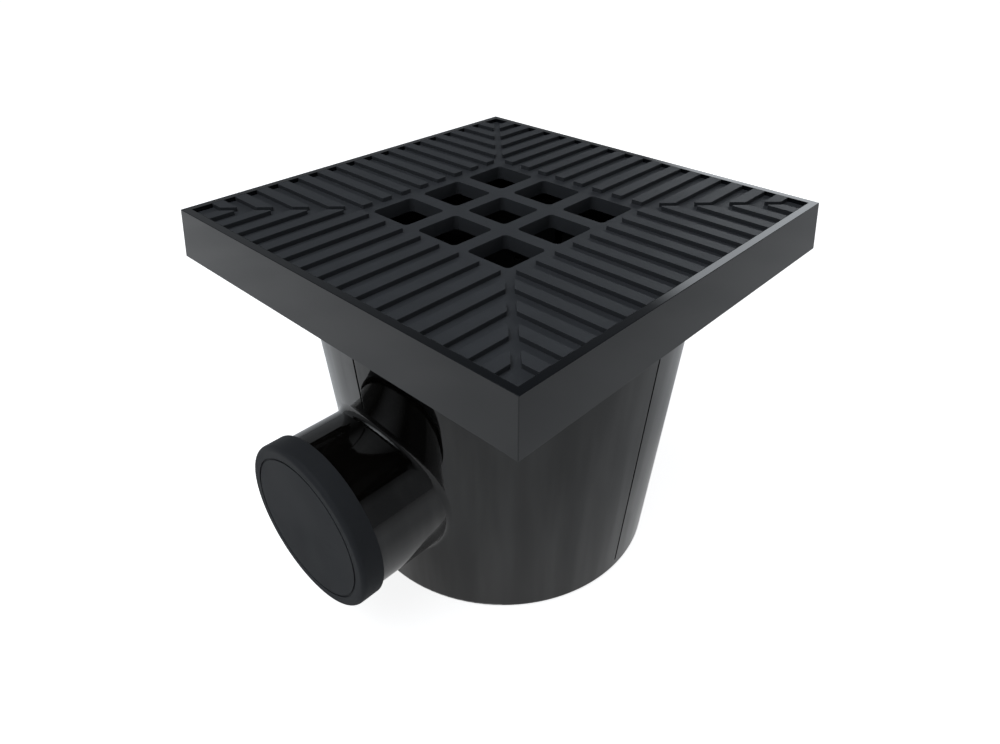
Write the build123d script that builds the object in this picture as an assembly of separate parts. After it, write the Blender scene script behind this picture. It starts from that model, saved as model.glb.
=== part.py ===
from build123d import *
import os
from math import cos, hypot, radians, sqrt, tan

# Gully trap: a tapered round pot with a capped side outlet, closed on top by a square frame and an
# inset grate, with a leaf basket and a removable trap bend inside.
# Millimetres. +Z is up, the origin is the centre of the pot's flat base, and the outlet runs along -X.

# ---- driving dimensions -------------------------------------------------------------------------

# whole gully
TOTAL_HEIGHT = 257.5          # base to the grate's top
PLAY = 0.3                    # gap that lets one moulding drop into another

# pot
POT_BASE_R = 115.5            # outside, at the base
POT_DRAFT_DEG = 3.9           # the wall leans out by this much
POT_WALL = 3.5
POT_FLOOR = 4.0
POT_FOOT_ROUND = 4.0          # rounding of the outer edge of the base
MOULD_LINES = 4               # witness lines left by the split mould
MOULD_LINE_WIDTH = 1.6
MOULD_LINE_DEPTH = 1.0
MOULD_LINE_START = 10.0       # above the base

# side outlet
OUTLET_R = 55.0               # outside, for a 110 mm pipe socket
OUTLET_WALL = 3.4
OUTLET_AXIS_Z = 97.5
OUTLET_REACH = 178.0          # from the pot's axis to the open end
OUTLET_CHAMFER = 1.6
OUTLET_FILLET = 4.0           # where the outlet leaves the pot

# outlet cap
CAP_WALL = 2.5
CAP_END = 2.6
CAP_LENGTH = 15.6
CAP_EDGE_ROUND = 3.2
CAP_DISC_R = 50.2             # flat disc inside a ring groove
CAP_GROOVE_WIDTH = 1.4
CAP_GROOVE_DEPTH = 0.9

# square frame
FRAME_TOP = 294.0             # across the top rim
SKIRT_SPREAD = 6.0            # the foot of the skirt is this much wider than the top
SKIRT_HEIGHT = 32.5
SKIRT_WALL = 3.0
FRAME_CORNER_R = 0.5
RIM_WIDTH = 5.0
RIM_EDGE_ROUND = 0.3
WEB_THICKNESS = 4.0           # flat seat under the grate
COLLAR_WALL = 3.0
COLLAR_DEPTH = 34.0           # how far the collar reaches into the pot
COLLAR_GAP = 0.8              # to the pot's inner wall
LIP_WALL = 2.5                # ring outside the pot's mouth
LIP_DEPTH = 8.0
LEDGE_WIDTH = 9.0             # carries the basket
LEDGE_THICKNESS = 3.0
GUSSETS = 16
GUSSET_THICKNESS = 2.5
GUSSET_HEIGHT = 12.0

# ring seal between frame and pot
SEAL_WIDTH = 5.0
SEAL_DEPTH = 2.0              # into the collar
SEAL_BELOW_WEB = 14.0

# grate
GRATE_THICKNESS = 12.0        # foot to rib tops
RIB_HEIGHT = 2.8
RIB_PITCH = 16.5
RIB_WIDTH = 8.2
RIBS_PER_SIDE = 16
RIB_CORNER_R = 0.8
SPINE_WIDTH = 5.0             # plain strip along each diagonal
HOLE_WIDTH = 33.2
HOLE_CORNER_R = 3.0
HOLE_BAR = 10.3               # between two holes
HOLES_PER_SIDE = 3
LATTICE_MARGIN = 7.2          # plain band round the holes
GRATE_CORNER_R = 1.2
GRATE_SKIN = 4.0              # left over each pocket of the underside
POCKETS_PER_SIDE = 8
POCKET_RIB = 3.0
GRATE_LAND = 12.0             # solid edge that sits on the frame

# leaf basket
BASKET_WALL = 2.2
BASKET_DEPTH = 50.0
BASKET_DRAFT_DEG = 14.0
BASKET_RIM = 2.5
BASKET_GAP = 1.5              # to the ledge's inner edge
WALL_SLOTS = 20
WALL_SLOT_WIDTH = 6.0
WALL_SLOT_HEIGHT = 30.0
OUTER_FLOOR_SLOTS = 20
INNER_FLOOR_SLOTS = 10
FLOOR_SLOT_WIDTH = 6.0
FLOOR_SLOT_LENGTH = 30.0
FLOOR_SLOT_INSET = 8.0
HANDLE_WIDTH = 16.0
HANDLE_THICKNESS = 4.0
HANDLE_RISE = 22.0

# trap bend
BEND_WALL = 3.0
BEND_GAP = 1.0                # to the inside of the outlet
BEND_RADIUS = 60.0            # of the bend's centre line
BEND_INSERT = 42.0            # length held in the outlet
BEND_MOUTH_Z = 22.0           # the water seal reaches up from here
STOP_WIDTH = 3.0
STOP_HEIGHT = 4.4             # stop ring, above the bend's surface
BEND_SEAL_WIDTH = 6.0
BEND_SEAL_DEPTH = 1.4
BEND_SEAL_INSET = 12.0        # from the bend's inner end
EYE_R = 38.0                  # outside of the rodding eye
EYE_WALL = 3.0
EYE_REACH = 9.0               # beyond the bend's back

# rodding plug
PLUG_FLANGE_R = 42.0
PLUG_FLANGE = 3.0
PLUG_DEPTH = 14.0
PLUG_WALL = 2.5
PLUG_SEAL_WIDTH = 3.0
PLUG_SEAL_DEPTH = 1.6
PLUG_SEAL_INSET = 5.0
GRIP_LENGTH = 44.0
GRIP_HEIGHT = 9.0
GRIP_THICKNESS = 4.0

# ---- levels and radii that follow ----------------------------------------------------------------

RECESS_FLOOR_Z = TOTAL_HEIGHT - GRATE_THICKNESS
WEB_UNDER_Z = RECESS_FLOOR_Z - WEB_THICKNESS
SKIRT_FOOT_Z = TOTAL_HEIGHT - SKIRT_HEIGHT
FRAME_FOOT = FRAME_TOP + SKIRT_SPREAD
COLLAR_FOOT_Z = WEB_UNDER_Z - COLLAR_DEPTH
LEDGE_TOP_Z = COLLAR_FOOT_Z + LEDGE_THICKNESS
RECESS_SIDE = FRAME_TOP - 2 * RIM_WIDTH
OUTLET_BORE_R = OUTLET_R - OUTLET_WALL
BEND_R = OUTLET_BORE_R - BEND_GAP
UP = (Align.CENTER, Align.CENTER, Align.MIN)


def pot_outside(z):
    return POT_BASE_R + z * tan(radians(POT_DRAFT_DEG))


def pot_inside(z):
    return pot_outside(z) - POT_WALL


def collar_outside(z):
    return pot_inside(z) - COLLAR_GAP


def collar_inside(z):
    return collar_outside(z) - COLLAR_WALL


def tapered_ring(z_low, z_high, inner, outer):
    """A ring whose inner and outer radii are functions of height."""
    section = make_face(Polyline(
        (inner(z_low), 0, z_low), (outer(z_low), 0, z_low),
        (outer(z_high), 0, z_high), (inner(z_high), 0, z_high), close=True))
    return revolve(section, Axis.Z)


def along_x(radius, x_low, x_high, z):
    """A round bar along X."""
    return Pos(x_low, 0, z) * Rot(0, 90, 0) * Cylinder(radius, x_high - x_low, align=UP)


def spigot_ring(radius_in, radius_out, x_low, x_high, z):
    return along_x(radius_out, x_low, x_high, z) - along_x(radius_in, x_low, x_high, z)


# ---- gully body ----------------------------------------------------------------------------------

def mould_line(angle, z_low, z_high):
    """A narrow groove down the pot's outside."""
    lean = tan(radians(POT_DRAFT_DEG))
    groove = Box(2 * MOULD_LINE_DEPTH, MOULD_LINE_WIDTH, hypot(1, lean) * (z_high - z_low), align=UP)
    return Rot(0, 0, angle) * Pos(pot_outside(z_low), 0, z_low) * Rot(0, POT_DRAFT_DEG, 0) * groove


def mould_lines():
    top = WEB_UNDER_Z - LIP_DEPTH
    over_outlet = OUTLET_AXIS_Z + OUTLET_R + 2 * OUTLET_FILLET
    lines = [mould_line(180, over_outlet, top)]
    turns = [180 + 360 * i / MOULD_LINES for i in range(1, MOULD_LINES)]
    return lines + [mould_line(turn, MOULD_LINE_START, top) for turn in turns]


def gully_body():
    outside = Cone(POT_BASE_R, pot_outside(WEB_UNDER_Z), WEB_UNDER_Z, align=UP)
    spigot = along_x(OUTLET_R, -OUTLET_REACH, 0, OUTLET_AXIS_Z)
    end = spigot.edges().filter_by(GeomType.CIRCLE).sort_by(Axis.X)[0]
    shell = outside + chamfer(end, OUTLET_CHAMFER)
    junction = [e for e in shell.edges() if e.geom_type not in (GeomType.CIRCLE, GeomType.LINE)]
    shell = fillet(junction, OUTLET_FILLET)
    foot = shell.edges().filter_by(GeomType.CIRCLE).group_by(Axis.Z)[0]
    shell = fillet(foot, POT_FOOT_ROUND)
    inside = Pos(0, 0, POT_FLOOR) * Cone(
        pot_inside(POT_FLOOR), pot_inside(WEB_UNDER_Z), WEB_UNDER_Z - POT_FLOOR, align=UP)
    bore = along_x(OUTLET_BORE_R, -OUTLET_REACH, 0, OUTLET_AXIS_Z)
    return shell - inside - bore - mould_lines()


# ---- outlet cap ----------------------------------------------------------------------------------

def outlet_cap():
    """A push-on end cap: rounded outer edge, and a ring groove round a flat disc."""
    cap_r = OUTLET_R + PLAY + CAP_WALL
    face_x = -OUTLET_REACH - CAP_END
    cap = along_x(cap_r, face_x, face_x + CAP_LENGTH, OUTLET_AXIS_Z)
    rim = cap.edges().filter_by(GeomType.CIRCLE).sort_by(Axis.X)[0]
    cap = fillet(rim, CAP_EDGE_ROUND)
    cap -= along_x(OUTLET_R + PLAY, face_x + CAP_END, face_x + CAP_LENGTH, OUTLET_AXIS_Z)
    return cap - spigot_ring(
        CAP_DISC_R - CAP_GROOVE_WIDTH, CAP_DISC_R, face_x, face_x + CAP_GROOVE_DEPTH, OUTLET_AXIS_Z)


# ---- frame ---------------------------------------------------------------------------------------

def frame_side(z):
    """Across the frame's outside, which spreads towards the foot of its skirt."""
    return FRAME_TOP + SKIRT_SPREAD * (TOTAL_HEIGHT - z) / SKIRT_HEIGHT


def square_block(z_low, side_low, z_high, side_high, corner):
    low = Pos(0, 0, z_low) * RectangleRounded(side_low, side_low, corner)
    high = Pos(0, 0, z_high) * RectangleRounded(side_high, side_high, corner)
    return loft([low, high])


def skirt_hollow():
    inner = 2 * SKIRT_WALL
    return square_block(SKIRT_FOOT_Z, FRAME_FOOT - inner, WEB_UNDER_Z, frame_side(WEB_UNDER_Z) - inner,
                        FRAME_CORNER_R)


def lip_inside(z):
    return pot_outside(z) + PLAY


def lip_outside(z):
    return lip_inside(z) + LIP_WALL


def gussets():
    """Short ribs under the web, from the lip ring out to the skirt."""
    reach = FRAME_FOOT / sqrt(2)
    blade = Box(reach, GUSSET_THICKNESS, GUSSET_HEIGHT, align=(Align.MIN, Align.CENTER, Align.MAX))
    turns = [360 * (i + 0.5) / GUSSETS for i in range(GUSSETS)]
    star = [Pos(0, 0, WEB_UNDER_Z) * Rot(0, 0, turn) * blade for turn in turns]
    hub = Cylinder(lip_outside(WEB_UNDER_Z) - LIP_WALL / 2, TOTAL_HEIGHT, align=UP)
    return (skirt_hollow() & (Part() + star)) - hub


def frame():
    block = square_block(SKIRT_FOOT_Z, FRAME_FOOT, TOTAL_HEIGHT, FRAME_TOP, FRAME_CORNER_R)
    top_edges = block.edges().group_by(Axis.Z)[-1]
    block = fillet(top_edges, RIM_EDGE_ROUND)
    block -= skirt_hollow()
    block -= Pos(0, 0, RECESS_FLOOR_Z) * extrude(
        RectangleRounded(RECESS_SIDE, RECESS_SIDE, FRAME_CORNER_R), TOTAL_HEIGHT - RECESS_FLOOR_Z)
    block -= Cylinder(collar_inside(WEB_UNDER_Z), TOTAL_HEIGHT, align=UP)
    block += tapered_ring(COLLAR_FOOT_Z, WEB_UNDER_Z, collar_inside, collar_outside)
    block += tapered_ring(WEB_UNDER_Z - LIP_DEPTH, WEB_UNDER_Z, lip_inside, lip_outside)
    block += tapered_ring(COLLAR_FOOT_Z, LEDGE_TOP_Z, lambda z: ledge_radius(), collar_outside)
    return block + gussets() - frame_seal()


def ledge_radius():
    return collar_inside(COLLAR_FOOT_Z) - LEDGE_WIDTH


def seal_levels():
    high = WEB_UNDER_Z - SEAL_BELOW_WEB
    return high - SEAL_WIDTH, high


def groove_floor(z):
    return collar_outside(z) - SEAL_DEPTH


def frame_seal():
    """The rubber ring in the collar's groove, pressed against the pot's wall."""
    return tapered_ring(*seal_levels(), groove_floor, pot_inside)


# ---- grate ---------------------------------------------------------------------------------------

def grate_side():
    return RECESS_SIDE - 2 * PLAY


def lattice_half():
    return (HOLES_PER_SIDE * HOLE_WIDTH + (HOLES_PER_SIDE - 1) * HOLE_BAR) / 2 + LATTICE_MARGIN


def rib_field():
    """The ribs of the +X side: square to that edge, stopped at the holes and at both diagonals."""
    half = grate_side() / 2
    start = lattice_half()
    gap = SPINE_WIDTH / sqrt(2)
    quadrant = make_face(Polyline(
        (start, start - gap), (start, gap - start), (half, gap - half), (half, half - gap), close=True))
    bar = Rectangle(half - start, RIB_WIDTH, align=(Align.MIN, Align.CENTER))
    bars = [Pos(start, RIB_PITCH * (i - (RIBS_PER_SIDE - 1) / 2)) * bar for i in range(RIBS_PER_SIDE)]
    ribs = quadrant & (Sketch() + bars)
    inner_corners = [v for v in ribs.vertices() if v.X < half - RIB_CORNER_R]
    return fillet(inner_corners, RIB_CORNER_R)


def hole_grid():
    step = HOLE_WIDTH + HOLE_BAR
    hole = RectangleRounded(HOLE_WIDTH, HOLE_WIDTH, HOLE_CORNER_R)
    return [place * hole for place in GridLocations(step, step, HOLES_PER_SIDE, HOLES_PER_SIDE)]


def underside_pockets():
    """Square pockets between stiffening ribs, all round the holes."""
    span = grate_side() - 2 * GRATE_LAND
    step = span / POCKETS_PER_SIDE
    depth = GRATE_THICKNESS - RIB_HEIGHT - GRATE_SKIN
    pocket = Box(step - POCKET_RIB, step - POCKET_RIB, depth, align=UP)
    clear = lattice_half() - LATTICE_MARGIN + (step + POCKET_RIB) / 2
    return [Pos(0, 0, RECESS_FLOOR_Z) * place * pocket
            for place in GridLocations(step, step, POCKETS_PER_SIDE, POCKETS_PER_SIDE)
            if max(abs(place.position.X), abs(place.position.Y)) > clear]


def grate():
    side = grate_side()
    plate = Pos(0, 0, RECESS_FLOOR_Z) * extrude(
        RectangleRounded(side, side, GRATE_CORNER_R), GRATE_THICKNESS - RIB_HEIGHT)
    ribs = Pos(0, 0, TOTAL_HEIGHT - RIB_HEIGHT) * extrude(rib_field(), RIB_HEIGHT)
    plate += [Rot(0, 0, 90 * i) * ribs for i in range(4)]
    holes = Pos(0, 0, RECESS_FLOOR_Z) * extrude(Sketch() + hole_grid(), GRATE_THICKNESS)
    return plate - holes - underside_pockets()


# ---- leaf basket ---------------------------------------------------------------------------------

def basket_top_r():
    return ledge_radius() - BASKET_GAP


def basket_outside(z):
    return basket_top_r() - (LEDGE_TOP_Z - z) * tan(radians(BASKET_DRAFT_DEG))


def basket_inside(z):
    return basket_outside(z) - BASKET_WALL


def wall_slots(floor_z):
    middle = (floor_z + LEDGE_TOP_Z) / 2
    slot = Box(4 * BASKET_WALL, WALL_SLOT_WIDTH, WALL_SLOT_HEIGHT)
    radius = basket_outside(middle)
    return [Rot(0, 0, 360 * i / WALL_SLOTS) * Pos(radius, 0, middle) * Rot(0, BASKET_DRAFT_DEG, 0) * slot
            for i in range(WALL_SLOTS)]


def floor_slots(floor_z, outer_r, count):
    slot = Pos(outer_r - FLOOR_SLOT_LENGTH / 2, 0, floor_z) * Box(
        FLOOR_SLOT_LENGTH, FLOOR_SLOT_WIDTH, 3 * BASKET_WALL)
    return [Rot(0, 0, 360 * i / count) * slot for i in range(count)]


def basket_handle(rim_z):
    """A flat strap that arches over the basket's mouth from side to side."""
    half = basket_top_r()
    outer = ThreePointArc((0, -half, rim_z), (0, 0, rim_z + HANDLE_RISE), (0, half, rim_z))
    inner = Pos(0, 0, -HANDLE_THICKNESS) * outer
    ends = [Line(outer @ 0, inner @ 0), Line(outer @ 1, inner @ 1)]
    strap = extrude(make_face([outer, inner] + ends), HANDLE_WIDTH / 2, both=True)
    reach = Pos(0, 0, LEDGE_TOP_Z) * Cylinder(half - BASKET_WALL / 2, BASKET_RIM + HANDLE_RISE, align=UP)
    return strap & reach


def leaf_basket():
    floor_z = LEDGE_TOP_Z - BASKET_DEPTH
    rim_z = LEDGE_TOP_Z + BASKET_RIM
    bowl = tapered_ring(floor_z, rim_z, basket_inside, basket_outside)
    bowl += tapered_ring(LEDGE_TOP_Z, rim_z, basket_inside, lambda z: collar_inside(COLLAR_FOOT_Z) - PLAY)
    bowl += Pos(0, 0, floor_z) * Cylinder(basket_outside(floor_z), BASKET_WALL, align=UP)
    bowl -= wall_slots(floor_z)
    outer_row = basket_inside(floor_z) - FLOOR_SLOT_INSET
    bowl -= floor_slots(floor_z, outer_row, OUTER_FLOOR_SLOTS)
    bowl -= floor_slots(floor_z, outer_row - FLOOR_SLOT_LENGTH - FLOOR_SLOT_INSET, INNER_FLOOR_SLOTS)
    return bowl + basket_handle(rim_z)


# ---- trap bend -----------------------------------------------------------------------------------

def stop_x():
    """Where the stop ring's back edge comes up to the pot's curved, leaning inner wall."""
    ring_r = BEND_R + STOP_HEIGHT
    wall_r = pot_inside(OUTLET_AXIS_Z) * cos(radians(POT_DRAFT_DEG))
    return -sqrt(wall_r ** 2 - ring_r ** 2) + PLAY


def bend_start():
    return stop_x() + STOP_WIDTH


def leg_x():
    return bend_start() + BEND_RADIUS


def eye_x():
    return leg_x() + BEND_R + EYE_REACH


def bend_form(tube_r, eye_r, x_end, z_mouth, x_eye):
    """The bend's solid form at one radius: held end, quarter turn, leg and rodding eye."""
    centre_z = OUTLET_AXIS_Z - BEND_RADIUS
    ring = Torus(BEND_RADIUS, tube_r, major_angle=90, align=None)
    turn = Pos(bend_start(), 0, centre_z) * Rot(90, 0, 0) * ring
    leg = Pos(leg_x(), 0, z_mouth) * Cylinder(tube_r, centre_z - z_mouth, align=UP)
    held = along_x(tube_r, x_end, bend_start(), OUTLET_AXIS_Z)
    eye = along_x(eye_r, leg_x() - BEND_RADIUS / 2, x_eye, OUTLET_AXIS_Z)
    return held + turn + leg + eye


def bend_end():
    return stop_x() - BEND_INSERT


def bend_seal_span():
    start = bend_end() + BEND_SEAL_INSET
    return start, start + BEND_SEAL_WIDTH


def trap_bend():
    outside = bend_form(BEND_R, EYE_R, bend_end(), BEND_MOUTH_Z, eye_x())
    outside += along_x(BEND_R + STOP_HEIGHT, stop_x(), bend_start(), OUTLET_AXIS_Z)
    inside = bend_form(BEND_R - BEND_WALL, EYE_R - EYE_WALL, bend_end(), BEND_MOUTH_Z, eye_x())
    groove = spigot_ring(BEND_R - BEND_SEAL_DEPTH, BEND_R, *bend_seal_span(), OUTLET_AXIS_Z)
    return outside - inside - groove


def bend_seal():
    return spigot_ring(BEND_R - BEND_SEAL_DEPTH, OUTLET_BORE_R, *bend_seal_span(), OUTLET_AXIS_Z)


# ---- rodding plug --------------------------------------------------------------------------------

def plug_r():
    return EYE_R - EYE_WALL - PLAY


def plug_seal_span():
    end = eye_x() - PLUG_SEAL_INSET
    return end - PLUG_SEAL_WIDTH, end


def rodding_plug():
    """A hollow push-in plug with a finger bar across its flange."""
    plug = along_x(plug_r(), eye_x() - PLUG_DEPTH, eye_x(), OUTLET_AXIS_Z)
    plug -= along_x(plug_r() - PLUG_SEAL_DEPTH - PLUG_WALL, eye_x() - PLUG_DEPTH, eye_x(), OUTLET_AXIS_Z)
    plug += along_x(PLUG_FLANGE_R, eye_x(), eye_x() + PLUG_FLANGE, OUTLET_AXIS_Z)
    grip = Pos(eye_x() + PLUG_FLANGE, 0, OUTLET_AXIS_Z) * Box(
        GRIP_HEIGHT, GRIP_LENGTH, GRIP_THICKNESS, align=(Align.MIN, Align.CENTER, Align.CENTER))
    groove = spigot_ring(plug_r() - PLUG_SEAL_DEPTH, plug_r(), *plug_seal_span(), OUTLET_AXIS_Z)
    return plug + grip - groove


def plug_seal():
    return spigot_ring(plug_r() - PLUG_SEAL_DEPTH, EYE_R - EYE_WALL, *plug_seal_span(), OUTLET_AXIS_Z)


# ---- write every piece ---------------------------------------------------------------------------

PIECES = [gully_body, outlet_cap, frame, frame_seal, grate, leaf_basket,
          trap_bend, bend_seal, rodding_plug, plug_seal]

os.makedirs("parts", exist_ok=True)
for piece in PIECES:
    solid = piece()
    export_step(solid, "parts/" + piece.__name__ + ".step")
    print(piece.__name__, "solids", len(solid.solids()), "volume", round(solid.volume))
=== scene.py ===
# %% [markdown]
# # A yard gully in moulded black plastic
#
# A gully trap sits under a downpipe or in a paved yard. Rain falls through the grate into a round
# pot, leaves are held back by a basket, and the water leaves through a side outlet. The construction
# comes from a CAD model. This lesson gives it its surfaces: a glossy pot and frame, a matt grate, a
# satin transit cap, and quiet inner pieces.

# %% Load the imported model
import math

import bmesh
import bpy
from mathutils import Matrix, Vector


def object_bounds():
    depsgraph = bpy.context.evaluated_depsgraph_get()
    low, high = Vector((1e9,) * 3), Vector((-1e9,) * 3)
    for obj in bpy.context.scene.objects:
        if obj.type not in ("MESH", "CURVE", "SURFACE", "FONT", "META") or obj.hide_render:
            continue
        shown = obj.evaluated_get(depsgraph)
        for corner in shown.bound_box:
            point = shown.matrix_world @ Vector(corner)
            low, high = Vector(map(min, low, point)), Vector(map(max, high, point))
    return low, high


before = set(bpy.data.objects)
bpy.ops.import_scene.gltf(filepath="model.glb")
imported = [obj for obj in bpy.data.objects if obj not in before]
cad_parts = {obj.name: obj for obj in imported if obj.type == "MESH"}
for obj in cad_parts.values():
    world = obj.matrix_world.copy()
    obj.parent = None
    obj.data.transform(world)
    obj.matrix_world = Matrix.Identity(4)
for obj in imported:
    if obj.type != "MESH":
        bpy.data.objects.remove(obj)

cad_low, cad_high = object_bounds()
print("nodes:", sorted(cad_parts))

# %% [markdown]
# ## Helpers for node trees
#
# Every finish below is built from noise, masks and mixes. Writing the same six lines for each node
# hides the idea, so small helpers do the wiring: each adds one kind of node, sets its values and links
# its sockets. They take plain names, so a finish reads like a recipe.

# %% Node helpers
def add_node(tree, kind, **values):
    """Adds a node; values that are sockets are linked, other values are set on its inputs."""
    node = tree.nodes.new(kind)
    for name, value in values.items():
        socket = node.inputs[int(name[1:])] if name[0] == "i" and name[1:].isdigit() else node.inputs[name]
        if isinstance(value, bpy.types.NodeSocket):
            tree.links.new(value, socket)
        else:
            socket.default_value = value
    return node


def math_node(tree, operation, a, b=0.0, clamp=False):
    """One sum or comparison of a and b, each a number or a socket."""
    node = add_node(tree, "ShaderNodeMath", i0=a, i1=b)
    node.operation = operation
    node.use_clamp = clamp
    return node.outputs[0]


def remap(tree, value, low, high, to_low=0.0, to_high=1.0, soft=True):
    """Stretches low..high to to_low..to_high, and eases both ends when soft."""
    node = tree.nodes.new("ShaderNodeMapRange")
    node.interpolation_type = "SMOOTHSTEP" if soft else "LINEAR"
    tree.links.new(value, node.inputs["Value"])
    for name, number in (("From Min", low), ("From Max", high), ("To Min", to_low), ("To Max", to_high)):
        node.inputs[name].default_value = number
    return node.outputs["Result"]


def mix_colour(tree, factor, a, b):
    """Colour a where factor is 0 and colour b where it is 1."""
    node = add_node(tree, "ShaderNodeMix", i0=factor)
    node.data_type = "RGBA"
    for number, value in ((6, a), (7, b)):    # a Mix node keeps its colours at inputs 6 and 7, output 2
        if isinstance(value, bpy.types.NodeSocket):
            tree.links.new(value, node.inputs[number])
        else:
            node.inputs[number].default_value = value
    return node.outputs[2]


def object_coordinates(tree, stretch=(1, 1, 1)):
    """The piece's own coordinates in metres, stretched along an axis where a pattern has a direction."""
    place = tree.nodes.new("ShaderNodeTexCoord")
    mapping = add_node(tree, "ShaderNodeMapping", Vector=place.outputs["Object"], Scale=stretch)
    return mapping.outputs["Vector"]


def noise(tree, vector, per_metre, detail=2.0, distortion=0.0):
    """Cloudy noise between 0 and 1; per_metre is its scale, as a number or a socket."""
    node = add_node(tree, "ShaderNodeTexNoise", Vector=vector, Scale=per_metre, Detail=detail,
                    Distortion=distortion)
    return node.outputs["Fac"]


print("node helpers ready")

# %% Group helpers
def new_group(name, inputs, outputs):
    """A shader node group with float inputs and outputs; returns the tree and its two end nodes."""
    tree = bpy.data.node_groups.new(name, "ShaderNodeTree")
    for socket, value in inputs.items():
        item = tree.interface.new_socket(socket, in_out="INPUT", socket_type="NodeSocketFloat")
        item.default_value = value
    for socket in outputs:
        tree.interface.new_socket(socket, in_out="OUTPUT", socket_type="NodeSocketFloat")
    return tree, tree.nodes.new("NodeGroupInput"), tree.nodes.new("NodeGroupOutput")


def use_group(tree, group, **values):
    """Places a group in a material with its own values; a low line in a name stands for a space."""
    node = tree.nodes.new("ShaderNodeGroup")
    node.node_tree = group
    for name, value in values.items():
        node.inputs[name.replace("_", " ")].default_value = value
    return node


print("group helpers ready")

# %% [markdown]
# ## What moulded plastic looks like up close
#
# Injection-moulded polypropylene copies the steel of its mould. Three things show: a fine grain from the
# tool's surface, long faint flow streaks where the melt ran, and marks from handling. The streaks also
# carry a painted sheen on the pot, and the rubbed edges a painted edge highlight. They could be painted
# textures, but a procedural pattern in metres stays sharp at any distance and fits every piece.
# Each effect is a group used by several finishes with its own values.

# %% Tool grain group
CLOUD_LOW, CLOUD_HIGH = 0.35, 0.65    # most of a noise lies between these, so they part its patches


def make_tool_grain():
    """Fine even grain, and slow changes of gloss over the palm-sized patches of a cooling tool."""
    tree, given, result = new_group(
        "Tool grain", {"Grains per metre": 3000.0, "Patches per metre": 14.0}, ["Height", "Patches"])
    place = object_coordinates(tree)
    grain = noise(tree, place, given.outputs["Grains per metre"], detail=3.0)
    patches = noise(tree, place, given.outputs["Patches per metre"])
    tree.links.new(grain, result.inputs["Height"])
    tree.links.new(remap(tree, patches, CLOUD_LOW, CLOUD_HIGH), result.inputs["Patches"])
    return tree


tool_grain = make_tool_grain()
print("group:", tool_grain.name)

# %% Flow streak group, also the mask of the pot's painted sheen
STREAK_SQUEEZE = 0.06     # the noise sees this share of the height, so it is drawn out upright
STREAK_LOW, STREAK_HIGH = 0.35, 0.68


def make_flow_streaks():
    """Long soft streaks up and down the wall, as the melt ran from the base to the rim; on the pot they
    also carry a painted sheen.
    """
    tree, given, result = new_group("Flow and sheen streaks", {"Streaks per metre": 60.0}, ["Streaks"])
    place = object_coordinates(tree, stretch=(1, 1, STREAK_SQUEEZE))
    streaks = noise(tree, place, given.outputs["Streaks per metre"], detail=3.0)
    tree.links.new(remap(tree, streaks, STREAK_LOW, STREAK_HIGH), result.inputs["Streaks"])
    return tree


flow_and_sheen_streaks = make_flow_streaks()
print("group:", flow_and_sheen_streaks.name)

# %% Handling wear group, whose edge mask also lays a painted edge highlight
WEAR_SAMPLES = 4
AT_EDGE, ON_FLAT = 0.80, 0.995        # how far the bevelled normal agrees with the true one
RUBS_PER_METRE = 220.0
RUB_LOW, RUB_HIGH = 0.35, 0.75
SCRATCH_STRETCH = (1, 0.08, 0.35)
SCRATCH_BEND = 0.6
NOISE_MIDDLE = 0.5                    # a scratch runs where the noise crosses its middle value
SCRATCH_WIDTH = 0.006                 # how far the noise may be from it
HANDLED_PER_METRE = 9.0               # scratches gather in patches, where the piece was handled
HANDLED_LOW, HANDLED_HIGH = 0.5, 0.7


def make_handling_wear():
    """Edges rubbed dull by stacking, and sparse hair scratches. The bevel node finds the edges. The edge
    mask also lightens colours as a painted edge highlight.
    """
    tree, given, result = new_group(
        "Wear and edge highlight", {"Edge width": 0.0008, "Scratches per metre": 90.0}, ["Edges", "Scratches"])
    rounded = add_node(tree, "ShaderNodeBevel", Radius=given.outputs["Edge width"])
    rounded.samples = WEAR_SAMPLES
    true_normal = tree.nodes.new("ShaderNodeNewGeometry").outputs["Normal"]
    agreement = add_node(tree, "ShaderNodeVectorMath", i0=rounded.outputs["Normal"], i1=true_normal)
    agreement.operation = "DOT_PRODUCT"
    near_edge = remap(tree, agreement.outputs["Value"], AT_EDGE, ON_FLAT, 1.0, 0.0)
    place = object_coordinates(tree)
    rubs = remap(tree, noise(tree, place, RUBS_PER_METRE, detail=3.0), RUB_LOW, RUB_HIGH)
    tree.links.new(math_node(tree, "MULTIPLY", near_edge, rubs), result.inputs["Edges"])
    drawn_out = object_coordinates(tree, stretch=SCRATCH_STRETCH)
    hairs = noise(tree, drawn_out, given.outputs["Scratches per metre"], detail=4.0,
                  distortion=SCRATCH_BEND)
    ridge = math_node(tree, "ABSOLUTE", math_node(tree, "SUBTRACT", hairs, NOISE_MIDDLE))
    lines = remap(tree, ridge, 0.0, SCRATCH_WIDTH, 1.0, 0.0)
    handled = remap(tree, noise(tree, place, HANDLED_PER_METRE), HANDLED_LOW, HANDLED_HIGH)
    tree.links.new(math_node(tree, "MULTIPLY", lines, handled), result.inputs["Scratches"])
    return tree


wear_and_edge_highlight = make_handling_wear()
print("group:", wear_and_edge_highlight.name)

# %% [markdown]
# ## One recipe for the plastics
#
# The pieces differ in colour, gloss and grain, but the way a plastic is put together is the same: a base
# colour that shifts a little over patches, over streaks, which on the pot are a painted sheen, and over
# rubbed edges, which are lighter as wear and as a painted edge highlight; a roughness lifted by the same
# and by scratches, a thin coat where the streaks are, and a bump from the tool's grain on slightly rounded
# edges. So one function takes a finish's values. The shader itself stays in each material, where an
# exporter can read it.

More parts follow.
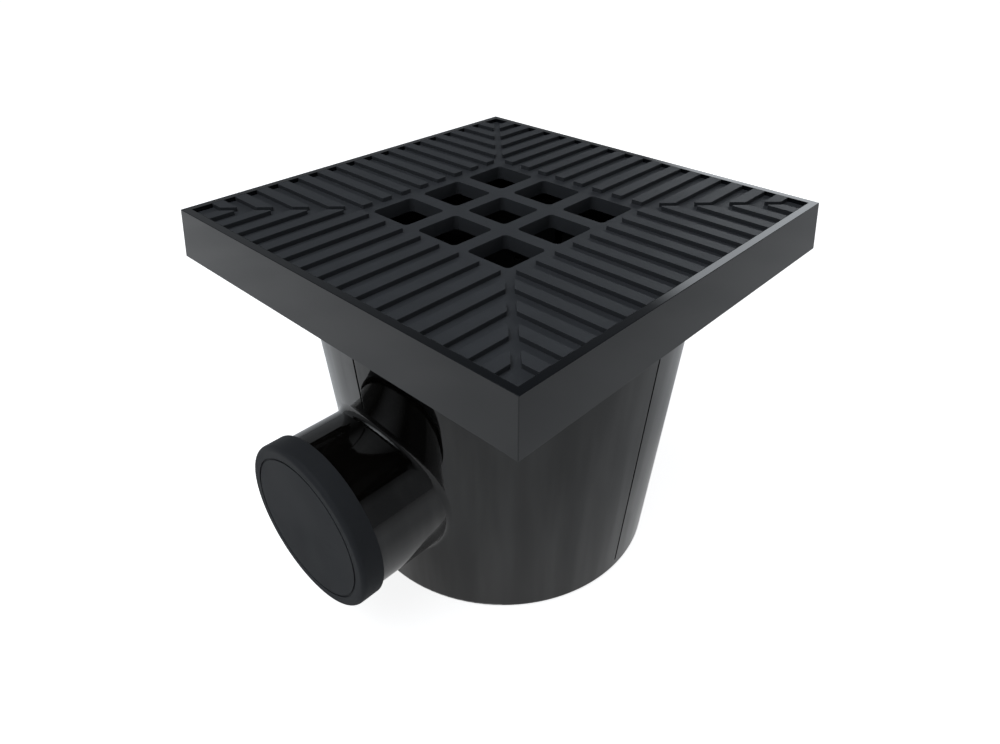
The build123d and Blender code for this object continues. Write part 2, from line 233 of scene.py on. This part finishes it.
# %% Plastic recipe
PLASTIC_IOR = 1.49
PATCH_TINT = 1.12         # colour of a patch, as a share of the base
WEAR_TO_ROUND = 1.5       # wear and its painted edge highlight reach this much further than the rounding of an edge
PATCH_DULLS = 0.2         # share of the finish's own roughness that a patch adds
EDGE_DULLS = 0.18
SCRATCH_DULLS = 0.12
ROUND_SAMPLES = 6


def tinted(colour, factor=1.0):
    """The colour times factor, with the alpha that a colour socket wants."""
    return (*[c * factor for c in colour], 1)


def plastic(name, colour, roughness, grain_depth, grains=3000.0, edge_round=0.0004, wear_and_highlight_tint=1.5,
            specular=0.5, sheen_streak_colour=None, streak_dulls=0.0, streak_shine=0.0):
    """A moulded plastic: colours in linear light, grain_depth and edge_round in metres."""
    material = bpy.data.materials.new(name)
    material.use_nodes = True
    tree = material.node_tree
    shader = tree.nodes["Principled BSDF"]
    shader.inputs["Specular IOR Level"].default_value = specular
    shader.inputs["IOR"].default_value = PLASTIC_IOR
    grain = use_group(tree, tool_grain, Grains_per_metre=grains)
    streaks = use_group(tree, flow_and_sheen_streaks)
    wear = use_group(tree, wear_and_edge_highlight, Edge_width=WEAR_TO_ROUND * edge_round)
    patchy = mix_colour(tree, grain.outputs["Patches"], tinted(colour), tinted(colour, PATCH_TINT))
    # lighter streaks, where a finish has a streak colour: a painted sheen
    streaked_with_sheen = mix_colour(tree, streaks.outputs["Streaks"], patchy, tinted(sheen_streak_colour or colour))
    # lighter rubbed edges: real wear and a painted edge highlight
    worn_and_highlighted = mix_colour(tree, wear.outputs["Edges"], streaked_with_sheen, tinted(colour, wear_and_highlight_tint))
    tree.links.new(worn_and_highlighted, shader.inputs["Base Color"])
    level = roughness
    for mask, dulls in ((streaks.outputs["Streaks"], streak_dulls),
                        (grain.outputs["Patches"], PATCH_DULLS * roughness),
                        (wear.outputs["Edges"], EDGE_DULLS), (wear.outputs["Scratches"], SCRATCH_DULLS)):
        level = math_node(tree, "ADD", level, math_node(tree, "MULTIPLY", mask, dulls), clamp=True)
    tree.links.new(level, shader.inputs["Roughness"])
    shine = math_node(tree, "MULTIPLY", streaks.outputs["Streaks"], streak_shine)
    tree.links.new(shine, shader.inputs["Coat Weight"])
    rounded = add_node(tree, "ShaderNodeBevel", Radius=edge_round)
    rounded.samples = ROUND_SAMPLES
    bump = add_node(tree, "ShaderNodeBump", Height=grain.outputs["Height"], Distance=grain_depth,
                    Normal=rounded.outputs["Normal"], Strength=1.0)
    tree.links.new(bump.outputs["Normal"], shader.inputs["Normal"])
    return material


print("plastic recipe ready, refraction", PLASTIC_IOR)

# %% Dressing a piece
def dress(node, material):
    """Gives a CAD piece its finish in every material slot."""
    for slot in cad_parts[node].material_slots:
        slot.material = material
    print(node, "->", material.name)


# %% [markdown]
# ## The glossy mouldings
#
# The pot and the frame come from polished tools, so they mirror the pale table: the skirt reads grey
# although the plastic is almost black, and the pot brightens where its wall curves out of sight. That
# comes from a low roughness and the plain reflection of a plastic. A lighter colour would look like chalk,
# because it would lift the dark places too. Faint streaks run up the pot where the melt cooled at
# different speeds: a thin extra coat in them makes the skin shine a little more, and a slightly lighter
# colour in them is a painted sheen.

# %% Pot and frame
POT_BLACK = (0.0024, 0.0021, 0.0019)
# painted sheen: the pot's streaks get this lighter colour
POT_SHEEN_STREAK = (0.0034, 0.0029, 0.0024)
FRAME_BLACK = (0.0036, 0.0046, 0.0064)
pot_gloss = plastic("Pot gloss", POT_BLACK, roughness=0.03, grain_depth=0.000001, grains=500.0,
                    specular=0.46, sheen_streak_colour=POT_SHEEN_STREAK, streak_dulls=0.03, streak_shine=0.22)
frame_gloss = plastic("Frame gloss", FRAME_BLACK, roughness=0.05, grain_depth=0.000001, grains=600.0,
                      edge_round=0.00015)
dress("gully_body", pot_gloss)
dress("frame", frame_gloss)

# %% [markdown]
# ## The matt grate
#
# People walk on the grate, so its tool is blasted: the plastic comes out charcoal and matt, with a grain
# that shows only close by. A glossy black with a strong bump would sparkle, so the finish is made with
# a broad roughness and a fine, shallow grain.

# %% Grate
GRATE_CHARCOAL = (0.0405, 0.0430, 0.0475)
grate_matt = plastic("Grate charcoal", GRATE_CHARCOAL, roughness=0.49, grain_depth=0.00002, grains=1600.0,
                     edge_round=0.00025, wear_and_highlight_tint=1.3, specular=0.17)
dress("grate", grate_matt)

# %% [markdown]
# ## The transit cap
#
# The cap is a softer polyethylene that only has to keep dirt out until the drain is laid. Its face is
# silky and evenly dark grey, next to an outlet that mirrors the table. So it gets a broad roughness and
# a weak reflection, and its ring groove stays readable.

# %% Cap
CAP_BLACK = (0.0320, 0.0335, 0.0365)
cap_satin = plastic("Cap satin", CAP_BLACK, roughness=0.50, grain_depth=0.00001, grains=1200.0,
                    specular=0.065)
dress("outlet_cap", cap_satin)

# %% [markdown]
# ## Inside the pot
#
# The basket, the bend, its plug and the rubber rings stay in the dark below the grate. They still get
# their own finishes, because a close look through the holes, or the piece by itself, shows them.

# %% Inner pieces
BASKET_BLACK = (0.007, 0.007, 0.0075)
BEND_GREY = (0.085, 0.086, 0.090)
RUBBER_BLACK = (0.012, 0.012, 0.012)
basket_satin = plastic("Basket satin", BASKET_BLACK, roughness=0.38, grain_depth=0.00001, specular=0.3)
bend_grey = plastic("Bend grey", BEND_GREY, roughness=0.28, grain_depth=0.000006, wear_and_highlight_tint=1.2)
seal_rubber = plastic("Seal rubber", RUBBER_BLACK, roughness=0.62, grain_depth=0.00003, grains=900.0,
                      wear_and_highlight_tint=2.0, specular=0.35)
dress("leaf_basket", basket_satin)
for piece in ("trap_bend", "rodding_plug"):
    dress(piece, bend_grey)
for ring in ("frame_seal", "bend_seal", "plug_seal"):
    dress(ring, seal_rubber)

# %% [markdown]
# ## Ground
#
# The gully stands on a plain pale table. Lit by the lamp alone it renders light grey, so an emission
# that only the camera sees lifts it to white, and the shadow under the piece stays. Small glossy goods
# are often shown on a table lit from below. A second emission, seen in reflections alone, does that
# here: strongest under the piece and on the outlet's side, weak behind. So the pot stays bright to its
# foot, and each side of the skirt gets its own grey. The glow is slightly patchy, which the round wall
# draws out into faint upright streaks.

# %% Table glow
TABLE_GLOW = 0.34                     # under the piece
TABLE_EDGE_GLOW = 0.19                # out on the table
GLOW_FADES = (0.11, 0.24)             # from about the pot's radius to twice that, in metres
OUTLET_SIDE, FAR_SIDE = 1.65, 0.75    # factors on the glow
SIDES = (-0.50, 0.20)                 # where along X they are reached, in metres
BEHIND = 0.2                          # share of the glow that is left behind the piece
BEHIND_ALONG_X = (-0.25, 0.0)         # it falls to that share between these places, in metres
BEHIND_ALONG_Y = (0.10, 0.40)
GLOW_PATCHES_PER_METRE = 9.0
GLOW_THIN, GLOW_THICK = 0.88, 1.12


def table_glow(tree, place):
    """How bright the table shines in reflections, from its distance and side of the piece."""
    away = add_node(tree, "ShaderNodeVectorMath", i0=place)
    away.operation = "LENGTH"
    parts = add_node(tree, "ShaderNodeSeparateXYZ", Vector=place).outputs
    glow = remap(tree, away.outputs["Value"], *GLOW_FADES, TABLE_GLOW, TABLE_EDGE_GLOW)
    side = remap(tree, parts["X"], *SIDES, OUTLET_SIDE, FAR_SIDE, soft=False)
    behind = math_node(tree, "MULTIPLY", remap(tree, parts["Y"], *BEHIND_ALONG_Y),
                       remap(tree, parts["X"], *BEHIND_ALONG_X))
    left_over = remap(tree, behind, 0.0, 1.0, 1.0, BEHIND, soft=False)
    patches = remap(tree, noise(tree, place, GLOW_PATCHES_PER_METRE), CLOUD_LOW, CLOUD_HIGH,
                    GLOW_THIN, GLOW_THICK)
    for factor in (side, left_over, patches):
        glow = math_node(tree, "MULTIPLY", glow, factor)
    return glow


print("table glow under the piece and further out:", TABLE_GLOW, TABLE_EDGE_GLOW)

# %% Floor
FLOOR_RADIUS = 7.0
TABLE_GREY = (0.80, 0.80, 0.80)
TABLE_PALE = (0.83, 0.83, 0.83)
TABLE_CLOUDS_PER_METRE = 1.5
CAMERA_LIFT = 0.86
WHITE = (1, 1, 1)


def make_floor():
    """A pale disc that the camera sees as white, with its glow for reflections alone."""
    mesh = bpy.data.meshes.new("Floor")
    bm = bmesh.new()
    bmesh.ops.create_circle(bm, cap_ends=True, segments=96, radius=FLOOR_RADIUS)
    bm.to_mesh(mesh)
    bm.free()
    floor = bpy.data.objects.new("Floor", mesh)
    bpy.context.scene.collection.objects.link(floor)
    material = bpy.data.materials.new("Pale ground")
    material.use_nodes = True
    tree = material.node_tree
    shader = tree.nodes["Principled BSDF"]
    shader.inputs["Roughness"].default_value = 1.0
    shader.inputs["Specular IOR Level"].default_value = 0.0
    place = object_coordinates(tree)
    clouds = noise(tree, place, TABLE_CLOUDS_PER_METRE)
    colour = mix_colour(tree, clouds, tinted(TABLE_GREY), tinted(TABLE_PALE))
    tree.links.new(colour, shader.inputs["Base Color"])
    rays = tree.nodes.new("ShaderNodeLightPath").outputs
    mirrored = math_node(tree, "MAXIMUM", rays["Is Glossy Ray"], rays["Is Transmission Ray"])
    lift = math_node(tree, "MULTIPLY", rays["Is Camera Ray"], CAMERA_LIFT)
    lift = math_node(tree, "ADD", lift, math_node(tree, "MULTIPLY", mirrored, table_glow(tree, place)))
    shader.inputs["Emission Color"].default_value = tinted(WHITE)
    tree.links.new(lift, shader.inputs["Emission Strength"])
    mesh.materials.append(material)
    return floor


floor = make_floor()
print("floor radius, m:", FLOOR_RADIUS)

# %% [markdown]
# ## Sky
#
# Gloss black shows its surroundings more than itself. A dim studio keeps the top of the grate deep, and
# one bright low window on the right lights the rim and the ribs that run towards it. The world shader
# makes both from the direction alone: walls that fade into a darker ceiling by height, and a window
# between two headings. The camera sees plain white.

# %% World
COOL_LIGHT = (0.95, 1.0, 1.05)
WALL_LIGHT = 0.24
CEILING_LIGHT = 0.08
WALL_TOP = 0.62      # sine of the height where the walls have faded into the ceiling
WALL_FULL = 0.40     # sine of the height up to which the walls are bright
WINDOW_LIGHT = 2.1
WINDOW_START = math.radians(60)     # headings from +Y towards +X
WINDOW_END = math.radians(112)
WINDOW_TOP = math.sin(math.radians(28))
START_BLUR, END_BLUR, TOP_BLUR = 0.06, 0.1, 0.03    # each edge fades this far to both sides


def make_world():
    """Walls, ceiling and window for light and reflections, and plain white for the camera."""
    world = bpy.data.worlds.new("Studio")
    bpy.context.scene.world = world
    world.use_nodes = True
    tree = world.node_tree
    background = tree.nodes["Background"]
    way = tree.nodes.new("ShaderNodeTexCoord").outputs["Generated"]
    parts = add_node(tree, "ShaderNodeSeparateXYZ", Vector=way).outputs
    walls = remap(tree, parts["Z"], WALL_FULL, WALL_TOP, WALL_LIGHT, CEILING_LIGHT)
    heading = math_node(tree, "ARCTAN2", parts["X"], parts["Y"])
    past_start = remap(tree, heading, WINDOW_START - START_BLUR, WINDOW_START + START_BLUR)
    before_end = remap(tree, heading, WINDOW_END - END_BLUR, WINDOW_END + END_BLUR, 1.0, 0.0)
    below_top = remap(tree, parts["Z"], WINDOW_TOP - TOP_BLUR, WINDOW_TOP + TOP_BLUR, 1.0, 0.0)
    pane = math_node(tree, "MULTIPLY", math_node(tree, "MULTIPLY", past_start, before_end), below_top)
    studio = math_node(tree, "MAXIMUM", walls, math_node(tree, "MULTIPLY", pane, WINDOW_LIGHT))
    camera_ray = tree.nodes.new("ShaderNodeLightPath").outputs["Is Camera Ray"]
    level = math_node(tree, "MAXIMUM", studio, camera_ray)
    tint = mix_colour(tree, camera_ray, tinted(COOL_LIGHT), tinted(WHITE))
    tree.links.new(tint, background.inputs["Color"])
    tree.links.new(level, background.inputs["Strength"])


make_world()
print("world light, wall, ceiling and window:", WALL_LIGHT, CEILING_LIGHT, WINDOW_LIGHT)

# %% [markdown]
# ## Lamp
#
# One large softbox, high on the outlet's side, gives the soft shadow of a studio and lights the cap's
# face. It is big and its cloth fades towards the edges on purpose: a small lamp of the same power, or
# one with a crisp outline, would mirror as a hard bright square in the gloss.

# %% Softbox
LAMP_PLACE = (-0.95, 0.2, 2.4)
LAMP_SIZE = 4.0
LAMP_POWER = 33.0
LAMP_MIDDLE = 4.0                     # brightness of the cloth's middle; it fades to nothing at the edges
CLOTH_MIDDLE = (0.5, 0.5, 0.0)        # the cloth's own coordinates run from 0 to 1 each way
CLOTH_REACH = 0.5                     # from its middle to an edge


def softbox(name, place, aim, size, power):
    """A square area lamp at place that points at aim, bright in its middle and dim at its edges."""
    light = bpy.data.lights.new(name, "AREA")
    light.shape = "SQUARE"
    light.size = size
    light.energy = power
    light.color = COOL_LIGHT
    light.use_nodes = True
    tree = light.node_tree
    face = tree.nodes.new("ShaderNodeNewGeometry").outputs["Parametric"]
    centred = add_node(tree, "ShaderNodeVectorMath", i0=face, i1=CLOTH_MIDDLE)
    centred.operation = "SUBTRACT"
    distance = add_node(tree, "ShaderNodeVectorMath", i0=centred.outputs["Vector"])
    distance.operation = "LENGTH"
    fade = remap(tree, distance.outputs["Value"], 0.0, CLOTH_REACH, LAMP_MIDDLE, 0.0)
    tree.links.new(fade, tree.nodes["Emission"].inputs["Strength"])
    lamp = bpy.data.objects.new(name, light)
    lamp.location = place
    lamp.rotation_euler = (Vector(aim) - Vector(place)).to_track_quat("-Z", "Y").to_euler()
    bpy.context.scene.collection.objects.link(lamp)


middle = (cad_low + cad_high) / 2
softbox("Key softbox", LAMP_PLACE, middle, LAMP_SIZE, LAMP_POWER)

# %% [markdown]
# ## Camera
#
# The camera stands over the near corner of the frame and looks down at about 35 degrees, close enough
# for the corner to loom. A short lens close by gives that strong perspective; a long one would flatten
# the square into a lozenge.

# %% Camera
CAMERA_PLACE = (-0.3306, -0.3098, 0.4394)
CAMERA_PITCH = 55.35      # degrees up from straight down
CAMERA_HEADING = -46.6    # degrees from +Y, negative towards +X
SENSOR_WIDTH = 36.0       # mm, as the lens
LENS = 26.35
NEAREST = 0.01            # metres


def make_camera():
    """A short lens close to the frame's near corner; it becomes the scene's camera."""
    data = bpy.data.cameras.new("Camera")
    data.sensor_fit = "HORIZONTAL"
    data.sensor_width = SENSOR_WIDTH
    data.lens = LENS
    data.clip_start = NEAREST
    camera = bpy.data.objects.new("Camera", data)
    camera.location = CAMERA_PLACE
    camera.rotation_euler = (math.radians(CAMERA_PITCH), 0, math.radians(CAMERA_HEADING))
    bpy.context.scene.collection.objects.link(camera)
    bpy.context.scene.camera = camera
    return camera


camera = make_camera()
bpy.context.scene.view_settings.view_transform = "Standard"
print("camera lens, mm:", camera.data.lens)

# %% Update the view layer
bpy.context.view_layer.update()
